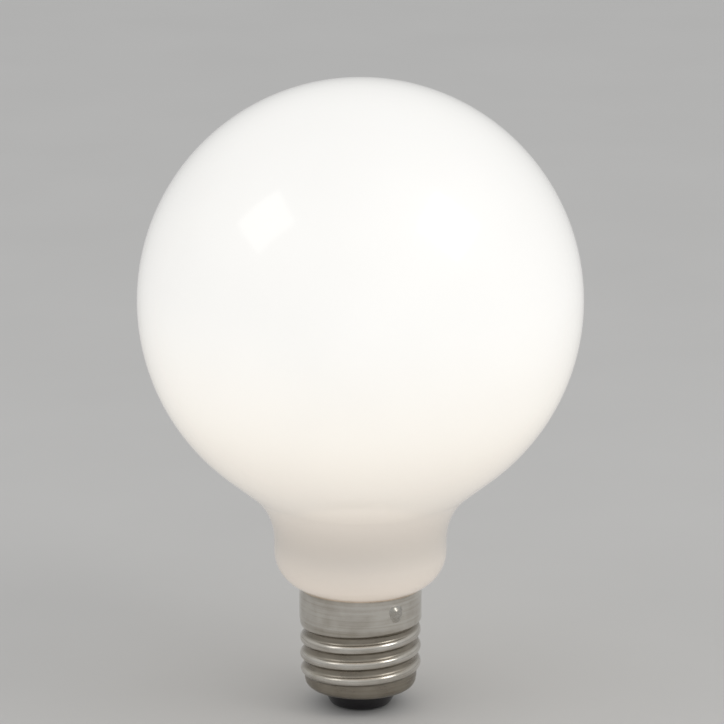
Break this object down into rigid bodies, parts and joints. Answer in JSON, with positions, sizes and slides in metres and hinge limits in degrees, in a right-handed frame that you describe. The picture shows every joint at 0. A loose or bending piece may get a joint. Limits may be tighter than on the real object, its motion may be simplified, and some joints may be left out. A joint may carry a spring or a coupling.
{
  "type": "globe bulb",
  "caption": "Opal glass globe bulb on a short rounded neck, with a rolled metal screw cap, black glass insulator and centre contact.",
  "frame": {"origin": "on the bulb's axis, in the plane of the centre contact's outer face", "axes": "+Z along the axis from the contact through the cap to the crown of the globe; +X to the right and -Y towards the camera of the picture"},
  "size_m": [0.095, 0.095, 0.1376],
  "materials": {
    "opal_glass": "glossy opal white, lit from inside",
    "cap_metal": "rolled brass sheet, nickel plated, satin",
    "black_glass": "fire-polished black glass",
    "contact_metal": "stamped brass, dull polish",
    "solder": "soft solder, smooth and slightly dull",
    "cement": "baked basing cement, matt"
  },
  "bodies": {
    "root": {"glass_globe": "opal_glass", "screw_cap": "cap_metal", "cap_insulator": "black_glass", "centre_contact": "contact_metal", "contact_solder": "solder", "rim_solder": "solder", "cement_ring": "cement"}
  },
  "joints": []
}
